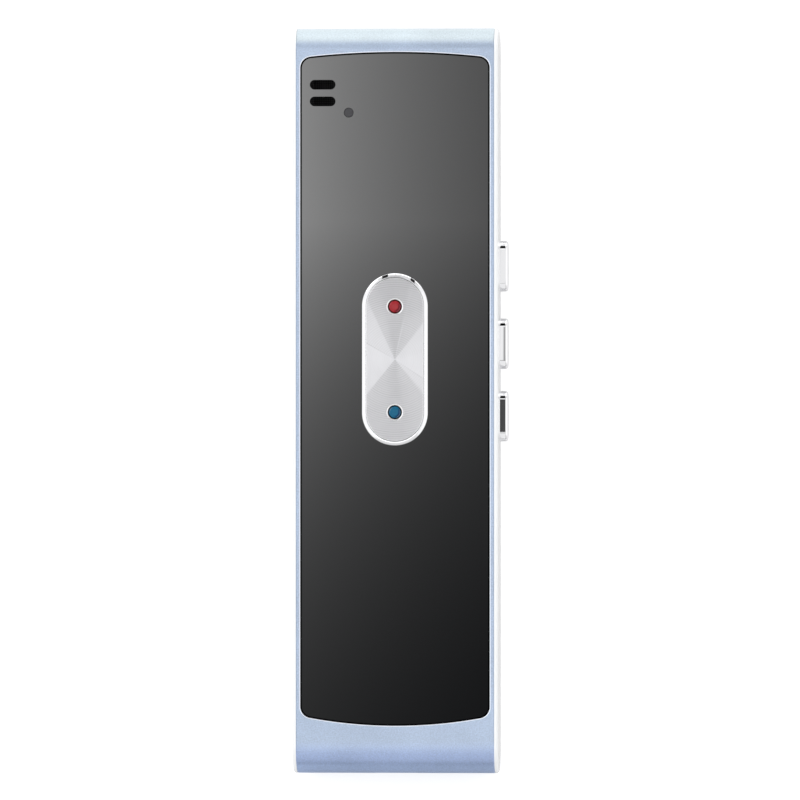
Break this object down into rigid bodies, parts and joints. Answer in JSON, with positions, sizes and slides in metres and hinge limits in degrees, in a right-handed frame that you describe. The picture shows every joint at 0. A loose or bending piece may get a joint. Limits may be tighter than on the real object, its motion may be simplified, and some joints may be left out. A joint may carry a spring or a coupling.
{
  "type": "handheld translator",
  "caption": "Slim stick-shaped voice translator: wrapped aluminium sleeve, black front panel, rocking oval talk key with two jewels, and side push buttons.",
  "frame": {"origin": "centre of the flat back face, which the translator rests on", "axes": "+X across the body towards the side buttons, +Y along it towards the sound slots, +Z out of the front panel"},
  "size_m": [0.0399, 0.1386, 0.0124],
  "materials": {
    "anodised_aluminium": "fine bead-blasted, pale blue anodised",
    "cap_white": "smooth white, semi-gloss",
    "panel_black": "deep black, mirror gloss",
    "bright_chrome": "polished",
    "spun_aluminium": "spun in fine concentric rings",
    "red_jewel": "clear tinted",
    "blue_jewel": "clear tinted",
    "smoked_lens": "smoked, satin",
    "chassis_grey": "fine moulded texture",
    "board_green": "solder mask",
    "chip_black": "moulded",
    "connector_white": "moulded",
    "steel": "plain",
    "seal_rubber": "matte",
    "foam_tape": "matte",
    "mesh_black": "fine woven mesh",
    "pouch_foil": "soft foil",
    "lead_cover": "insulated wire",
    "light_lens": "translucent"
  },
  "bodies": {
    "body": {"sleeve": "anodised_aluminium", "right_side_cap": "cap_white", "left_side_cap": "cap_white", "front_panel": "panel_black", "panel_adhesive": "foam_tape", "bezel_ring": "bright_chrome", "pivot_pin": "steel", "upper_snap_dome": "steel", "lower_snap_dome": "steel", "chassis": "chassis_grey", "main_board": "board_green", "board_screws": "steel", "red_light": "light_lens", "blue_light": "light_lens", "indicator_light": "light_lens", "indicator_lens": "smoked_lens", "slot_mesh": "mesh_black", "microphone": "steel", "microphone_boot": "seal_rubber", "loudspeaker": "chip_black", "speaker_gasket": "seal_rubber", "speaker_mesh": "mesh_black", "speaker_leads": "lead_cover", "battery": "pouch_foil", "battery_tape": "foam_tape", "battery_connector": "connector_white", "battery_leads": "lead_cover", "charging_socket_shell": "steel", "charging_socket_tongue": "chip_black", "shield_can": "steel", "processor": "chip_black", "radio_module": "steel", "charging_chip": "chip_black", "amplifier_chip": "chip_black", "antenna": "connector_white", "power_switch": "chip_black", "volume_up_switch": "chip_black", "volume_down_switch": "chip_black"},
    "talk_key": {"rocker_plate": "spun_aluminium", "rocker_carrier": "connector_white", "red_jewel": "red_jewel", "blue_jewel": "blue_jewel"},
    "power_key": {"power_button": "bright_chrome", "power_plunger": "connector_white"},
    "volume_up_key": {"volume_up_button": "bright_chrome", "volume_up_plunger": "connector_white"},
    "volume_down_key": {"volume_down_button": "bright_chrome", "volume_down_plunger": "connector_white"}
  },
  "joints": [
    {"name": "talk_key_rock", "type": "hinge", "parent": "body", "child": "talk_key", "pos_m": [0, 0.0077, 0.0094], "axis": [1, 0, 0], "range_deg": [-1.8, 1.8], "stiffness_Nm_per_rad": 0.3, "deforming": ["upper_snap_dome", "lower_snap_dome"]},
    {"name": "power_press", "type": "slide", "parent": "body", "child": "power_key", "axis": [-1, 0, 0], "range_m": [0, 0.00035], "stiffness_N_per_m": 800, "springref_m": -0.0005},
    {"name": "volume_up_press", "type": "slide", "parent": "body", "child": "volume_up_key", "axis": [-1, 0, 0], "range_m": [0, 0.00035], "stiffness_N_per_m": 800, "springref_m": -0.0005},
    {"name": "volume_down_press", "type": "slide", "parent": "body", "child": "volume_down_key", "axis": [-1, 0, 0], "range_m": [0, 0.00035], "stiffness_N_per_m": 800, "springref_m": -0.0005}
  ]
}
